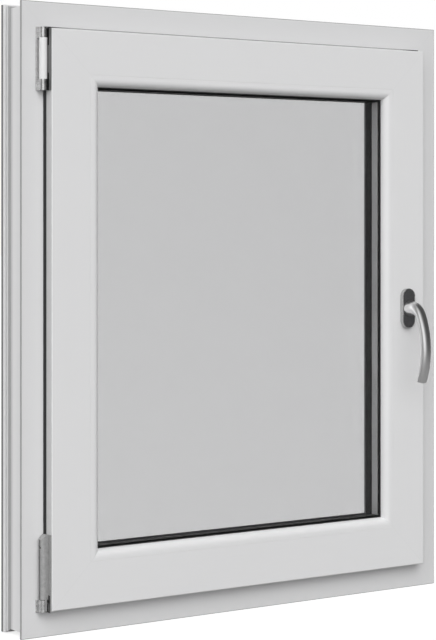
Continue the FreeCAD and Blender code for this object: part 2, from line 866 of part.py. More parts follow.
def build():
    """Every node of the window by name."""
    nodes = {}
    frame_names = {"sill": "frame_sill", "head": "frame_head"}
    frame_names["hinge"] = "frame_jamb_hinge_side"
    frame_names["lock"] = "frame_jamb_lock_side"
    for side, name in frame_names.items():
        nodes[name] = mitred_member(side, frame_outline(), frame_chambers())
    drain_places = (frame_width / 2.0 - drain_spacing / 2.0, frame_width / 2.0 + drain_spacing / 2.0)
    for x in drain_places:
        nodes["frame_sill"] = nodes["frame_sill"].cut(drain_slot(x))
    nodes["drain_cap_left"] = drain_cap(drain_places[0])
    nodes["drain_cap_right"] = drain_cap(drain_places[1])
    nodes["frame_stop_seal"] = mitred_ring(stop_seal_outline())

    sash_names = {"sill": "sash_bottom_rail", "head": "sash_top_rail"}
    sash_names["hinge"] = "sash_stile_hinge_side"
    sash_names["lock"] = "sash_stile_lock_side"
    for side, name in sash_names.items():
        nodes[name] = mitred_member(side, sash_outline(), sash_chambers())
    nodes["sash_stile_lock_side"] = nodes["sash_stile_lock_side"].cut(spindle_bore())
    nodes["sash_overlap_seal"] = mitred_ring(overlap_seal_outline()).cut(stay_arm_passage())

    bead_names = {"sill": "bead_bottom", "head": "bead_top"}
    bead_names["hinge"] = "bead_hinge_side"
    bead_names["lock"] = "bead_lock_side"
    for side, name in bead_names.items():
        nodes[name] = mitred_member(side, bead_outline(), [bead_chamber()])
    nodes["bead_seal"] = mitred_ring(bead_seal_outline())
    nodes["outer_glazing_seal"] = mitred_ring(outer_seal_outline())

    pane_step = pane_thickness + pane_gap
    nodes["glass_room_pane"] = pane(glass_front)
    nodes["glass_middle_pane"] = pane(glass_front + pane_step)
    nodes["glass_outer_pane"] = pane(glass_front + 2.0 * pane_step)
    nodes["spacer_room_side"] = spacer(glass_front + pane_thickness)
    nodes["spacer_outer_side"] = spacer(glass_front + pane_step + pane_thickness)

    nodes["stay_bearing"] = stay_bearing()
    nodes["stay_pin"] = stay_pin()
    nodes["stay_sleeve"] = stay_sleeve()
    nodes["stay_arm"] = stay_arm()
    nodes["stay_guard_upper"] = stay_guard_upper()
    nodes["stay_guard_lower"] = stay_guard_lower()
    nodes["pivot_rest"] = pivot_rest()
    nodes["corner_hinge"] = corner_hinge()
    nodes["corner_pin"] = corner_pin()

    nodes["handle_rosette"] = handle_rosette()
    nodes["handle_rosette_cover"] = handle_rosette_cover()
    nodes["handle_lever"] = handle_lever()
    nodes["handle_spindle"] = handle_spindle()
    return nodes


os.makedirs("parts", exist_ok=True)
for name, shape in build().items():
    placed = shape.copy()
    placed.translate(origin_shift)
    placed.exportStep("parts/" + name + ".step")
    solids = len(placed.Solids)
    print(name, "solids", solids, "volume", round(placed.Volume / 1000.0, 2), "cm3", placed.isValid())
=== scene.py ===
import bpy
import math
import numpy as np
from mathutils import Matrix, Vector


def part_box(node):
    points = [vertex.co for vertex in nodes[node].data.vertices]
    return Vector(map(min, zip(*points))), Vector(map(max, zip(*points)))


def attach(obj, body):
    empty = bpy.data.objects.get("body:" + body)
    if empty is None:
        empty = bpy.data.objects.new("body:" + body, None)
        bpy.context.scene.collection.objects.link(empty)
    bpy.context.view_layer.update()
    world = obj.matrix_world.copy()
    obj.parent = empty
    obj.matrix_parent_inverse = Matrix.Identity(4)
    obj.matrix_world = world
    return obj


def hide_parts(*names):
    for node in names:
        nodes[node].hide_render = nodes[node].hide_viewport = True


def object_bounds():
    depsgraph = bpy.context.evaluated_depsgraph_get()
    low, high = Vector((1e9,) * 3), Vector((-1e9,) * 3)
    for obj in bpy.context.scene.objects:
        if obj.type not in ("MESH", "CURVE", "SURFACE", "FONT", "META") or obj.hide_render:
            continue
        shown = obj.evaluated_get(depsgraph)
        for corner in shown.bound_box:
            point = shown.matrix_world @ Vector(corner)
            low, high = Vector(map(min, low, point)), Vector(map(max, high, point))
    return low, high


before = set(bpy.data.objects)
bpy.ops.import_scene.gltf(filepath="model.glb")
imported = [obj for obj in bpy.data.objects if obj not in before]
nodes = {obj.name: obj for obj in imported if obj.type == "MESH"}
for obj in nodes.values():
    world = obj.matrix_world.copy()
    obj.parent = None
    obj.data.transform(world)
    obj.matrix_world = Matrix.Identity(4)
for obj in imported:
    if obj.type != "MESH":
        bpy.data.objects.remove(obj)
cadLow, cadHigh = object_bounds()
print("frame loaded:", len(nodes), "nodes")


# lengths in metres; the origin is on the sill's flat underside, x to the right seen from the room
camera = {
    "place": (-1.9399, -2.7499, 0.64695),
    "turn": 0.608,            # radians to the right from looking straight at the window
    "lens": 111.42,
    "sensor": 36,
    "shiftUp": -0.155,        # the photograph keeps its upright edges parallel
    "clip": (0.05, 60),
}


def addCamera():
    data = bpy.data.cameras.new("photoCamera")
    data.lens = camera["lens"]
    data.sensor_width = camera["sensor"]
    data.sensor_fit = "AUTO"
    data.shift_y = camera["shiftUp"]
    data.clip_start, data.clip_end = camera["clip"]
    obj = bpy.data.objects.new("photoCamera", data)
    obj.location = camera["place"]
    obj.rotation_euler = (math.pi / 2, 0, -camera["turn"])
    bpy.context.scene.collection.objects.link(obj)
    bpy.context.scene.camera = obj
    print("camera placed")


# shader helpers

# sockets of a Mix node that mixes colours
mixFirst, mixSecond, mixResult = 6, 7, 2


# an empty material, its tree and the socket that takes its shader
def newMaterial(name):
    mat = bpy.data.materials.new(name)
    mat.use_nodes = True
    tree = mat.node_tree
    tree.nodes.clear()
    return mat, tree, tree.nodes.new("ShaderNodeOutputMaterial").inputs["Surface"]


def addPrincipled(tree, surfaceInput):
    shader = tree.nodes.new("ShaderNodeBsdfPrincipled")
    tree.links.new(shader.outputs[0], surfaceInput)
    return shader


# values are the node's own settings or its sockets
def addNode(tree, kind, **values):
    node = tree.nodes.new(kind)
    for key, value in values.items():
        if hasattr(node, key):
            setattr(node, key, value)
        else:
            node.inputs[key].default_value = value
    return node


# each operand is a number or a socket
def mathNode(tree, operation, *operands):
    node = addNode(tree, "ShaderNodeMath", operation=operation)
    for index, value in enumerate(operands):
        if isinstance(value, (int, float)):
            node.inputs[index].default_value = value
        else:
            tree.links.new(value, node.inputs[index])
    return node.outputs[0]


# the value, held between 0 and 1
def clamped(tree, value):
    return mathNode(tree, "MINIMUM", mathNode(tree, "MAXIMUM", value, 0.0), 1.0)


def coordinates(tree, kind):
    return tree.nodes.new("ShaderNodeTexCoord").outputs[kind]


def components(tree, vector):
    parts = tree.nodes.new("ShaderNodeSeparateXYZ")
    tree.links.new(vector, parts.inputs[0])
    return parts.outputs["X"], parts.outputs["Y"], parts.outputs["Z"]


# inputs hold (name, kind, default) and outputs (name, kind)
def newGroup(name, inputs, outputs):
    tree = bpy.data.node_groups.new(name, "ShaderNodeTree")
    for label, kind, value in inputs:
        socket = tree.interface.new_socket(name=label, in_out="INPUT", socket_type=kind)
        socket.default_value = value
    for label, kind in outputs:
        tree.interface.new_socket(name=label, in_out="OUTPUT", socket_type=kind)
    return tree, tree.nodes.new("NodeGroupInput"), tree.nodes.new("NodeGroupOutput")


# Two layers of noise over object coordinates, the fine one stretched along one direction by
# Stretch. Height feeds a bump, Shade lies about 1 and multiplies a colour, and Patch is the
# slow layer alone, which shifts a roughness.
def grainGroup():
    tree, start, end = newGroup(
        "grain",
        [("Vector", "NodeSocketVector", (0, 0, 0)), ("Stretch", "NodeSocketVector", (1, 1, 1)),
         ("FineScale", "NodeSocketFloat", 900.0), ("SlowScale", "NodeSocketFloat", 9.0),
         ("ShadeDepth", "NodeSocketFloat", 0.02)],
        [("Height", "NodeSocketFloat"), ("Shade", "NodeSocketFloat"), ("Patch", "NodeSocketFloat")])
    stretched = addNode(tree, "ShaderNodeVectorMath", operation="MULTIPLY")
    tree.links.new(start.outputs["Vector"], stretched.inputs[0])
    tree.links.new(start.outputs["Stretch"], stretched.inputs[1])
    fine = addNode(tree, "ShaderNodeTexNoise", Detail=3.0, Roughness=0.6)
    slow = addNode(tree, "ShaderNodeTexNoise", Detail=2.0, Roughness=0.5)
    tree.links.new(stretched.outputs[0], fine.inputs["Vector"])
    tree.links.new(start.outputs["FineScale"], fine.inputs["Scale"])
    tree.links.new(start.outputs["Vector"], slow.inputs["Vector"])
    tree.links.new(start.outputs["SlowScale"], slow.inputs["Scale"])
    tree.links.new(fine.outputs["Fac"], end.inputs["Height"])
    tree.links.new(slow.outputs["Fac"], end.inputs["Patch"])
    both = mathNode(tree, "ADD", fine.outputs["Fac"], slow.outputs["Fac"])
    centred = mathNode(tree, "SUBTRACT", both, 1.0)
    scaled = mathNode(tree, "MULTIPLY", centred, start.outputs["ShadeDepth"])
    tree.links.new(mathNode(tree, "ADD", scaled, 1.0), end.inputs["Shade"])
    return tree


window = {
    "centreHeight": (cadLow.z + cadHigh.z) / 2,
    "halfWidth": (cadHigh.x - cadLow.x) / 2,
    "halfHeight": (cadHigh.z - cadLow.z) / 2,
}


# how far a point lies in from the nearest upright outer edge
def fromSide(tree, x):
    return mathNode(tree, "SUBTRACT", window["halfWidth"], mathNode(tree, "ABSOLUTE", x))


# how far a point lies in from the nearest level outer edge
def fromEnd(tree, z):
    height = mathNode(tree, "SUBTRACT", z, window["centreHeight"])
    return mathNode(tree, "SUBTRACT", window["halfHeight"], mathNode(tree, "ABSOLUTE", height))


# Welded corner seams: a point's distance to the nearest upright edge less its distance to the
# nearest level edge is nought on the mitre line. Seam is 1 there and falls to 0 over HalfWidth.
def seamGroup():
    tree, start, end = newGroup(
        "mitreSeam",
        [("Vector", "NodeSocketVector", (0, 0, 0)), ("HalfWidth", "NodeSocketFloat", 0.0003)],
        [("Seam", "NodeSocketFloat")])
    x, _, z = components(tree, start.outputs["Vector"])
    apart = mathNode(tree, "ABSOLUTE", mathNode(tree, "SUBTRACT", fromSide(tree, x), fromEnd(tree, z)))
    share = mathNode(tree, "DIVIDE", apart, start.outputs["HalfWidth"])
    clipped = mathNode(tree, "MINIMUM", share, 1.0)
    tree.links.new(mathNode(tree, "SUBTRACT", 1.0, clipped), end.inputs["Seam"])
    return tree


# Painted shade band: Mask is 1 where a point lies within Width of a rectangle that is set in by
# Inset from the window's outer edge, and its depth is between From and To. Both ends fall off over
# Soft.
def edgeGroup():
    tree, start, end = newGroup(
        "paintedEdgeShade",
        [("Vector", "NodeSocketVector", (0, 0, 0)), ("Inset", "NodeSocketFloat", 0.0),
         ("Width", "NodeSocketFloat", 0.001), ("From", "NodeSocketFloat", 0.0),
         ("To", "NodeSocketFloat", 0.0), ("Soft", "NodeSocketFloat", 0.0005)],
        [("Mask", "NodeSocketFloat")])
    x, y, z = components(tree, start.outputs["Vector"])
    nearest = mathNode(tree, "MINIMUM", fromSide(tree, x), fromEnd(tree, z))
    inset = mathNode(tree, "SUBTRACT", nearest, start.outputs["Inset"])
    near = mathNode(tree, "LESS_THAN", mathNode(tree, "ABSOLUTE", inset), start.outputs["Width"])
    after = mathNode(tree, "SUBTRACT", y, start.outputs["From"])
    before = mathNode(tree, "SUBTRACT", start.outputs["To"], y)
    reach = mathNode(tree, "DIVIDE", mathNode(tree, "MINIMUM", after, before), start.outputs["Soft"])
    tree.links.new(mathNode(tree, "MULTIPLY", near, clamped(tree, reach)), end.inputs["Mask"])
    return tree


groups = {"grain": grainGroup(), "mitreSeam": seamGroup(), "paintedEdgeShade": edgeGroup()}


def placeGroup(tree, name, **values):
    node = tree.nodes.new("ShaderNodeGroup")
    node.node_tree = groups[name]
    for key, value in values.items():
        node.inputs[key].default_value = value
    tree.links.new(coordinates(tree, "Object"), node.inputs["Vector"])
    return node


# finishes

# A Principled material with grain on its colour, roughness and bump. look holds the colour, the
# two ends of the roughness, metallic, the grain's scale and stretch, and the depth of shade and bump.
def surface(name, look):
    mat, tree, surfaceInput = newMaterial(name)
    shader = addPrincipled(tree, surfaceInput)
    shader.inputs["Metallic"].default_value = look.get("metallic", 0.0)
    shader.inputs["Specular IOR Level"].default_value = look.get("specular", 0.5)
    grain = placeGroup(tree, "grain", Stretch=look.get("stretch", (1, 1, 1)),
                       FineScale=look["fineScale"], SlowScale=look.get("slowScale", 9.0),
                       ShadeDepth=look["shadeDepth"])
    colour = addNode(tree, "ShaderNodeMix", data_type="RGBA", blend_type="MULTIPLY")
    colour.inputs["Factor"].default_value = 1.0
    colour.inputs[mixFirst].default_value = (*look["colour"], 1)
    tree.links.new(grain.outputs["Shade"], colour.inputs[mixSecond])
    tree.links.new(colour.outputs[mixResult], shader.inputs["Base Color"])
    low, high = look["roughness"]
    rough = tree.nodes.new("ShaderNodeMapRange")
    rough.inputs["To Min"].default_value = low
    rough.inputs["To Max"].default_value = high
    tree.links.new(grain.outputs["Patch"], rough.inputs["Value"])
    tree.links.new(rough.outputs[0], shader.inputs["Roughness"])
    bump = addNode(tree, "ShaderNodeBump", Strength=look.get("bumpStrength", 0.2),
                   Distance=look.get("bumpDepth", 0.0001))
    tree.links.new(grain.outputs["Height"], bump.inputs["Height"])
    tree.links.new(bump.outputs[0], shader.inputs["Normal"])
    return mat


# brings a colour into the base colour by as much as the mask says
def tint(tree, mask, colour, blend):
    shader = next(node for node in tree.nodes if node.type == "BSDF_PRINCIPLED")
    baseColour = shader.inputs["Base Color"]
    before = baseColour.links[0].from_socket
    mixed = addNode(tree, "ShaderNodeMix", data_type="RGBA", blend_type=blend)
    mixed.inputs[mixSecond].default_value = colour
    tree.links.new(mask, mixed.inputs["Factor"])
    tree.links.new(before, mixed.inputs[mixFirst])
    tree.links.new(mixed.outputs[mixResult], baseColour)


# multiplies the base colour by the tone where the mask is 1
def darken(tree, mask, tone):
    tint(tree, mask, (tone, tone, tone, 1), "MULTIPLY")


profile = {
    "frameColour": (0.72, 0.72, 0.725),
    "sashColour": (0.765, 0.765, 0.77),
    "beadColour": (0.775, 0.775, 0.78),
    "seam": 0.90,              # the welded seam multiplies the white by this
    "seamHalfWidth": 0.0004,
    "look": {"roughness": (0.30, 0.38), "specular": 0.35, "fineScale": 650.0, "shadeDepth": 0.015,
             "bumpStrength": 0.10, "bumpDepth": 0.00006},
    # painted shade lines where the outline steps, at its lip and grooves: inset, width, from and to in
    # depth, soft end, tone
    "frameEdges": [
        (0.0, 0.0010, -0.0360, -0.0308, 0.0004, 0.46),     # tip of the room side flange
        (0.0080, 0.0008, 0.0050, 0.0300, 0.0090, 0.62),    # seat, towards the step
        (0.0062, 0.0016, 0.0135, 0.0172, 0.0003, 0.52),    # step down to the groove
        (0.0020, 0.0008, 0.0268, 0.0370, 0.0010, 0.22)],   # rear corner of the lip
    # painted shade on the side of the sash's overlap and on the slope of its glazing leg behind the
    # glass
    "sashEdges": [
        (0.0427, 0.0004, -0.0600, -0.0300, 0.0010, 0.80),  # front edge of the overlap
        (0.1293, 0.0025, 0.0045, 0.0150, 0.0004, 0.33)],   # slope of the leg behind the glass
    "beadEdges": [],
    "upright": (1, 1, 0.02),   # the grain is drawn out along the run
    "level": (0.02, 1, 1),
}


# white extruded profile: faint lines along its run, a fine welded seam and painted shade lines at its
# edges and steps
def profileFinish(part, run):
    mat = surface(part + run.capitalize(),
                  {**profile["look"], "colour": profile[part + "Colour"], "stretch": profile[run]})
    tree = mat.node_tree
    seam = placeGroup(tree, "mitreSeam", HalfWidth=profile["seamHalfWidth"])
    darken(tree, seam.outputs["Seam"], profile["seam"])
    # painted shade along the outline's steps and grooves
    for inset, width, start, end, soft, tone in profile[part + "Edges"]:
        edge = placeGroup(tree, "paintedEdgeShade", Inset=inset, Width=width, From=start, To=end, Soft=soft)
        darken(tree, edge.outputs["Mask"], tone)
    return mat


glass = {"colour": (0.882, 0.882, 0.885, 1), "bend": 1.5}


# clear float glass with a slight grey tint, so that three sheets read as soft grey
def glassFinish():
    mat, tree, surfaceInput = newMaterial("glassFinish")
    shader = addPrincipled(tree, surfaceInput)
    shader.inputs["Base Color"].default_value = glass["colour"]
    shader.inputs["Roughness"].default_value = 0.0
    shader.inputs["IOR"].default_value = glass["bend"]
    shader.inputs["Transmission Weight"].default_value = 1.0
    return mat


spacers = {
    "spacerGrey": {
        "colour": (0.62, 0.62, 0.62), "roughness": (0.35, 0.45), "fineScale": 900.0, "specular": 0.3,
        "stretch": (1, 1, 0.05), "shadeDepth": 0.06, "bumpStrength": 0.1, "levelTone": 0.14},
    "spacerBlack": {
        "colour": (0.010, 0.010, 0.010), "roughness": (0.4, 0.5), "fineScale": 900.0, "specular": 0.1,
        "shadeDepth": 0.1, "bumpStrength": 0.1, "levelTone": 0.5},
}


# The spacer's level runs are in their own shade, so they are darker than the upright ones. They
# are the faces whose normal has more than half its length upwards or downwards.
def spacerFinish(name):
    mat = surface(name, spacers[name])
    tree = mat.node_tree
    _, _, up = components(tree, coordinates(tree, "Normal"))
    levelFace = mathNode(tree, "GREATER_THAN", mathNode(tree, "ABSOLUTE", up), 0.5)
    darken(tree, levelFace, spacers[name]["levelTone"])
    return mat


cornerHinge = {
    "colour": (0.40, 0.40, 0.40), "metallic": 0.35, "roughness": (0.34, 0.50), "fineScale": 420.0,
    "slowScale": 160.0, "shadeDepth": 0.45, "bumpStrength": 0.40, "bumpDepth": 0.0002,
    "leftward": -0.95,              # a face looks left when its normal's x is below this
    "recess": (-0.3945, -0.3900),   # the adjuster's recess lies between these two, from the left
    "slot": (-0.3860, 0.060),       # the slot lies right of the first and below the second
    # tones of the painted shade in the recess and slot, and along the barrel's outer edge
    "recessShade": 0.12, "paintedEdgeShade": 0.40,
}


# lower hinge: painted shade on the faces that look left, dark in the slot and the recess,
# and a painted shade line along the barrel's outer edge, where it meets the frame
def cornerFinish():
    mat = surface("cornerZinc", cornerHinge)
    tree = mat.node_tree
    facing, _, _ = components(tree, coordinates(tree, "Normal"))
    x, _, z = components(tree, coordinates(tree, "Object"))
    looksLeft = mathNode(tree, "LESS_THAN", facing, cornerHinge["leftward"])
    recessLeft, recessRight = cornerHinge["recess"]
    slotLeft, slotTop = cornerHinge["slot"]
    recess = mathNode(tree, "MULTIPLY", mathNode(tree, "GREATER_THAN", x, recessLeft),
                      mathNode(tree, "LESS_THAN", x, recessRight))
    slot = mathNode(tree, "MULTIPLY", mathNode(tree, "GREATER_THAN", x, slotLeft),
                    mathNode(tree, "LESS_THAN", z, slotTop))
    either = mathNode(tree, "MAXIMUM", recess, slot)
    # painted shade in the recess and the slot
    darken(tree, mathNode(tree, "MULTIPLY", looksLeft, either), cornerHinge["recessShade"])
    # painted shade line along the barrel's outer edge, where it meets the frame
    outer = mathNode(tree, "LESS_THAN", x, recessLeft)
    darken(tree, mathNode(tree, "MULTIPLY", looksLeft, outer), cornerHinge["paintedEdgeShade"])
    return mat


seal = {
    "colour": (0.018, 0.018, 0.019), "roughness": (0.48, 0.62), "fineScale": 1400.0,
    "shadeDepth": 0.25, "bumpStrength": 0.3, "bumpDepth": 0.00005,
    "levelColour": (0.30, 0.30, 0.30, 1),
    "uprightReach": 0.052,     # the black of the upright runs goes this far in from the window's side
    "fade": 0.030,
}


# Seal beside the sash: black on the upright runs, grey where it shows as a line above the sash.
# The share of grey is (distance in from the side - reach) / fade, held between 0 and 1.
def overlapSealFinish():
    mat = surface("overlapSeal", seal)
    tree = mat.node_tree
    x, _, _ = components(tree, coordinates(tree, "Object"))
    beyond = mathNode(tree, "SUBTRACT", fromSide(tree, x), seal["uprightReach"])
    share = clamped(tree, mathNode(tree, "DIVIDE", beyond, seal["fade"]))
    tint(tree, share, seal["levelColour"], "MIX")
    return mat


looks = {
    "blackSeal": seal,
    "guardBlack": {
        "colour": (0.008, 0.008, 0.008), "roughness": (0.55, 0.65), "fineScale": 1400.0,
        "specular": 0.2, "shadeDepth": 0.2, "bumpStrength": 0.2, "bumpDepth": 0.00005},
    "hingeZinc": {
        "colour": (0.68, 0.68, 0.68), "metallic": 0.97, "roughness": (0.10, 0.24), "fineScale": 420.0,
        "slowScale": 160.0, "shadeDepth": 0.80, "bumpStrength": 0.22, "bumpDepth": 0.00015},
    "pivotZinc": {
        "colour": (0.60, 0.60, 0.60), "metallic": 0.75, "roughness": (0.14, 0.34), "fineScale": 300.0,
        "slowScale": 260.0, "shadeDepth": 0.90, "bumpStrength": 0.50, "bumpDepth": 0.0002},
    "armGrey": {
        "colour": (0.24, 0.24, 0.24), "metallic": 0.60, "roughness": (0.35, 0.45), "fineScale": 600.0,
        "slowScale": 60.0, "shadeDepth": 0.15},
    "hingePin": {
        "colour": (0.62, 0.62, 0.62), "metallic": 1.0, "roughness": (0.2, 0.3), "fineScale": 900.0,
        "shadeDepth": 0.08},
    "sleeveWhite": {
        "colour": (0.80, 0.80, 0.80), "roughness": (0.16, 0.22), "fineScale": 800.0,
        "shadeDepth": 0.01, "bumpStrength": 0.05},
    "handleSatin": {
        "colour": (0.90, 0.90, 0.90), "metallic": 1.0, "roughness": (0.27, 0.32), "fineScale": 1500.0,
        "stretch": (1, 1, 0.05), "slowScale": 30.0, "shadeDepth": 0.06, "bumpStrength": 0.12,
        "bumpDepth": 0.00004},
    # the rosette's cup: the lever's satin metal painted darker, painted shade for the darker
    # reflection on its flank
    "rosetteSatinShaded": {
        "colour": (0.56, 0.56, 0.56), "metallic": 1.0, "roughness": (0.24, 0.30), "fineScale": 1500.0,
        "slowScale": 60.0, "shadeDepth": 0.08, "bumpStrength": 0.1, "bumpDepth": 0.00004},
    "rosetteDark": {
        "colour": (0.055, 0.055, 0.057), "roughness": (0.42, 0.55), "fineScale": 520.0,
        "slowScale": 400.0, "shadeDepth": 0.9, "bumpStrength": 0.5},
}
finishes = {name: surface(name, look) for name, look in looks.items()}
for part in ("frame", "sash", "bead"):
    finishes[part + "Upright"] = profileFinish(part, "upright")
    finishes[part + "Level"] = profileFinish(part, "level")
for name in spacers:
    finishes[name] = spacerFinish(name)
finishes["glass"] = glassFinish()
finishes["cornerZinc"] = cornerFinish()
finishes["overlapSeal"] = overlapSealFinish()

nodeFinish = {
    "frame_sill": "frameLevel", "frame_head": "frameLevel",
    "frame_jamb_hinge_side": "frameUpright", "frame_jamb_lock_side": "frameUpright",
    "sash_bottom_rail": "sashLevel", "sash_top_rail": "sashLevel",
    "sash_stile_hinge_side": "sashUpright", "sash_stile_lock_side": "sashUpright",
    "bead_bottom": "beadLevel", "bead_top": "beadLevel",
    "bead_hinge_side": "beadUpright", "bead_lock_side": "beadUpright",
    "drain_cap_left": "frameLevel", "drain_cap_right": "frameLevel",
    "frame_stop_seal": "blackSeal", "sash_overlap_seal": "overlapSeal",
    "bead_seal": "blackSeal", "outer_glazing_seal": "blackSeal",
    "glass_room_pane": "glass", "glass_middle_pane": "glass", "glass_outer_pane": "glass",
    "spacer_room_side": "spacerGrey", "spacer_outer_side": "spacerBlack",
    "stay_bearing": "hingeZinc", "stay_arm": "armGrey", "pivot_rest": "pivotZinc",
    "corner_hinge": "cornerZinc", "stay_pin": "hingePin", "corner_pin": "hingePin",
    "stay_sleeve": "sleeveWhite", "stay_guard_upper": "guardBlack", "stay_guard_lower": "guardBlack",
    "handle_rosette": "rosetteSatinShaded", "handle_rosette_cover": "rosetteDark",
    "handle_lever": "handleSatin", "handle_spindle": "hingePin",
}


def dressNodes():
    for name, finish in nodeFinish.items():
        mesh = nodes[name].data
        mesh.materials.clear()
        mesh.materials.append(finishes[finish])
    print("finishes on", len(nodeFinish), "nodes")


# mesh helpers

def newMesh(name, points, faces):
    mesh = bpy.data.meshes.new(name)
    mesh.from_pydata(points, [], faces)
    mesh.update()
    return mesh


# A grid of points (rows, columns, 3) made a closed skin: columns join round, and each end row
# is drawn together to its middle point. Faces point outwards where the columns run clockwise,
# looking from the first row towards the last.
def skinMesh(name, grid):
    rows, columns = grid.shape[:2]
    points = np.concatenate([grid.reshape(-1, 3), grid[:1].mean(axis=1), grid[-1:].mean(axis=1)])
    row, column = np.meshgrid(np.arange(rows - 1), np.arange(columns), indexing="ij")
    following = (column + 1) % columns
    quads = np.stack([row * columns + column, row * columns + following,
                      (row + 1) * columns + following, (row + 1) * columns + column], axis=-1)
    around = np.arange(columns)
    beyond = (around + 1) % columns
    start, end = rows * columns, rows * columns + 1
    lastRow = (rows - 1) * columns
    startFan = np.stack([np.full(columns, start), beyond, around], axis=-1)
    endFan = np.stack([np.full(columns, end), lastRow + around, lastRow + beyond], axis=-1)
    faces = quads.reshape(-1, 4).tolist() + startFan.tolist() + endFan.tolist()
    return newMesh(name, points.tolist(), faces)


# A grid of points (rows, columns, 3) joined round both ways, as a ring with a closed section.
# The rows go round the section and the columns round the ring, and the same rule holds.
def ringMesh(name, grid):
    rows, columns = grid.shape[:2]
    row, column = np.meshgrid(np.arange(rows), np.arange(columns), indexing="ij")
    below, beside = (row + 1) % rows, (column + 1) % columns
    quads = np.stack([row * columns + column, row * columns + beside,
                      below * columns + beside, below * columns + column], axis=-1)
    return newMesh(name, grid.reshape(-1, 3).tolist(), quads.reshape(-1, 4).tolist())


# a mesh as a piece on a body, in place of the CAD nodes it stood for; sharp is the angle in
# degrees beyond which an edge isn't smoothed
def addPiece(mesh, finish, slot, body, *stoodFor, sharp):
    mesh.materials.append(finishes[finish])
    mesh.shade_smooth()
    mesh.set_sharp_from_angle(angle=math.radians(sharp))
    obj = bpy.data.objects.new(mesh.name, mesh)
    bpy.context.scene.collection.objects.link(obj)
    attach(obj, body)
    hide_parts(*stoodFor)
    return obj


# the lever: a round neck that turns down through an elbow into an oval grip on a wide bow

lever = {
    "axisDrop": 0.0115,        # from the CAD lever's top to the axis that it turns on
    "spigotRadius": 0.0085,    # turns in the rosette
    "spigotLength": 0.0069,
    "neckRadius": 0.0129,
    "neckEdge": 0.0007,
    "bowRadius": 0.140,        # of the grip's middle line
    "apexDrop": 0.072,         # from the neck's axis down to where the grip stands furthest out
    "joinDrop": 0.016,         # from the neck's axis down to where the elbow meets the bow
    "endRise": 0.0028,         # the middle line stops this far above the lowest point
    "thickness": 0.014,
    "widths": (0.0206, 0.0190, 0.0196),      # of the grip at its root, middle and end
    "fullness": 2.1,           # 2 is an ellipse, more is squarer
    "endRound": 0.0013,
    "rings": (14, 24, 64),     # along the neck, the elbow and the bow
    "blendBefore": 3,          # the oval starts to form at this ring from the neck's end
    "roundSteps": 7,           # over each rounded edge
    "around": 96,
    "sharp": 50,
}


# The middle line runs along the neck's axis, then round an arc that touches the axis and the
# bow, then down the bow's circle. It gives y, z and the turn down from level at each ring.
def leverLine(neckY, axisZ, apexY, endZ):
    neckRings, elbowRings, bowRings = lever["rings"]
    radius = lever["bowRadius"]
    centreY, centreZ = apexY + radius, axisZ - lever["apexDrop"]
    joinTurn = math.asin((lever["apexDrop"] - lever["joinDrop"]) / radius)
    tangent = lever["joinDrop"] / math.cos(joinTurn)
    elbowTurn = math.pi / 2 - joinTurn
    elbowRadius = tangent / math.tan(elbowTurn / 2)
    elbowY = centreY - radius * math.cos(joinTurn) + tangent * (math.sin(joinTurn) + 1)
    endTurn = math.asin((centreZ - endZ) / radius)
    neck = np.linspace(neckY, elbowY, neckRings)
    bend = np.linspace(0, elbowTurn, elbowRings)[1:]
    bow = np.linspace(joinTurn, -endTurn, bowRings)[1:]
    y = np.concatenate([neck, elbowY - elbowRadius * np.sin(bend), centreY - radius * np.cos(bow)])
    z = np.concatenate([neck * 0 + axisZ, axisZ - elbowRadius * (1 - np.cos(bend)),
                        centreZ + radius * np.sin(bow)])
    turn = np.concatenate([neck * 0, bend, math.pi / 2 - bow])
    return y, z, turn


# Half width, half thickness and power of each ring's oval, by its length along the middle line.
# Through the elbow a smooth step, s * s * (3 - 2 s), takes it from the neck's circle to the
# grip's oval. The grip's width is a quadratic blend of the root's, the middle's and the tip's.
def leverRings(run):
    neckRings, elbowRings, _ = lever["rings"]
    start, end = run[neckRings - lever["blendBefore"]], run[neckRings + elbowRings - 1]
    step = np.clip((run - start) / (end - start), 0, 1)
    step = step * step * (3 - 2 * step)
    along = np.clip((run - end) / (run[-1] - end), 0, 1)
    root, middle, tip = lever["widths"]
    grip = root * (1 - along) ** 2 + middle * 2 * along * (1 - along) + tip * along ** 2
    halfWidth = lever["neckRadius"] * (1 - step) + grip / 2 * step
    halfThick = lever["neckRadius"] * (1 - step) + lever["thickness"] / 2 * step
    power = 2 * (1 - step) + lever["fullness"] * step
    return halfWidth, halfThick, power


